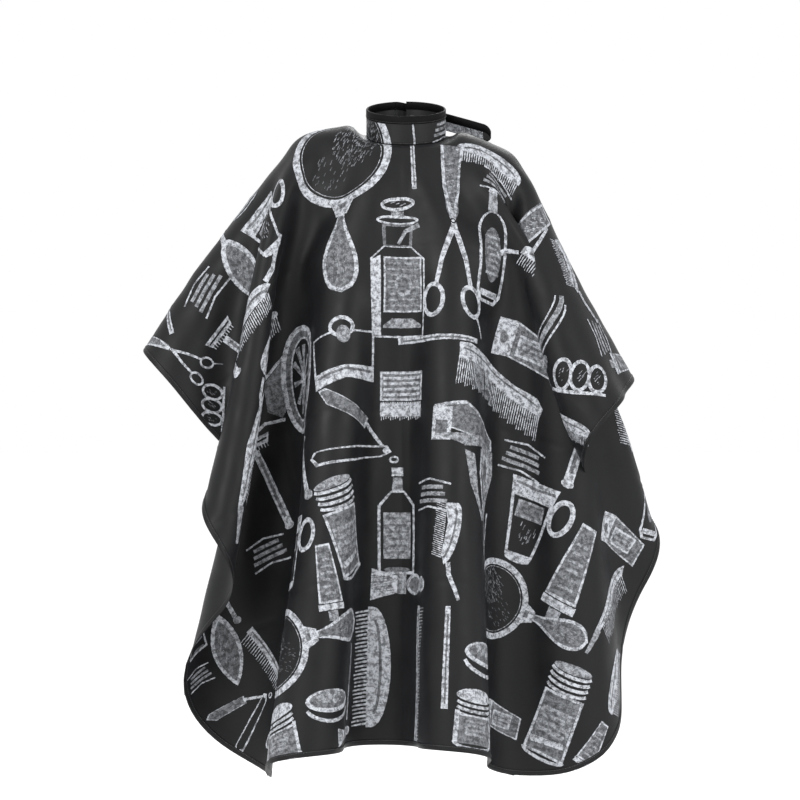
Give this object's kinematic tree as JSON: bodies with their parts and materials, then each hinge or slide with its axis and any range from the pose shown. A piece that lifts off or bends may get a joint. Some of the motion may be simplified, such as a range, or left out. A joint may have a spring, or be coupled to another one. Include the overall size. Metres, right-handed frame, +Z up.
{
  "type": "barber cape",
  "caption": "Printed polyester hair-cutting cape as worn, with a bound stand-up neckband closed at the back by an overlapping press-stud tab whose loose tail bends out.",
  "frame": {"origin": "middle of the neck opening, level with the neck seam at the front", "axes": "+Z up, the front of the cape faces -Y, +X is the wearer's left"},
  "size_m": [0.8858, 0.4694, 1.1447],
  "materials": {
    "printed_cloth": "black polyester taffeta with a soft sheen and a pale grey print",
    "binding": "matt black woven binding",
    "stiffener": "matt off-white non-woven",
    "press_stud": "satin black acetal"
  },
  "bodies": {
    "cape": {"cape_panel": "printed_cloth", "neckband_outer": "printed_cloth", "neckband_lining": "printed_cloth", "neckband_stiffener": "stiffener", "neckband_binding": "binding", "stud_cap_1": "press_stud", "stud_cap_2": "press_stud", "stud_cap_3": "press_stud", "stud_cap_4": "press_stud", "stud_1": "press_stud", "stud_2": "press_stud", "stud_3": "press_stud", "stud_4": "press_stud"},
    "tab": {"tab_outer": "printed_cloth", "tab_lining": "printed_cloth", "tab_stiffener": "stiffener", "tab_binding": "binding", "socket_cap_1": "press_stud", "socket_cap_2": "press_stud", "socket_1": "press_stud", "socket_2": "press_stud"},
    "tail": {"tail_outer": "printed_cloth", "tail_lining": "printed_cloth", "tail_stiffener": "stiffener", "tail_binding": "binding"}
  },
  "joints": [
    {"name": "tab_peel", "type": "hinge", "parent": "cape", "child": "tab", "pos_m": [-0.01869, 0.06627, 0.065], "axis": [0, 0, 1], "range_deg": [0, 100]},
    {"name": "tail_bend", "type": "hinge", "parent": "tab", "child": "tail", "pos_m": [0.04115, 0.06372, 0.07], "axis": [0, 0, 1], "range_deg": [0, 60]}
  ]
}
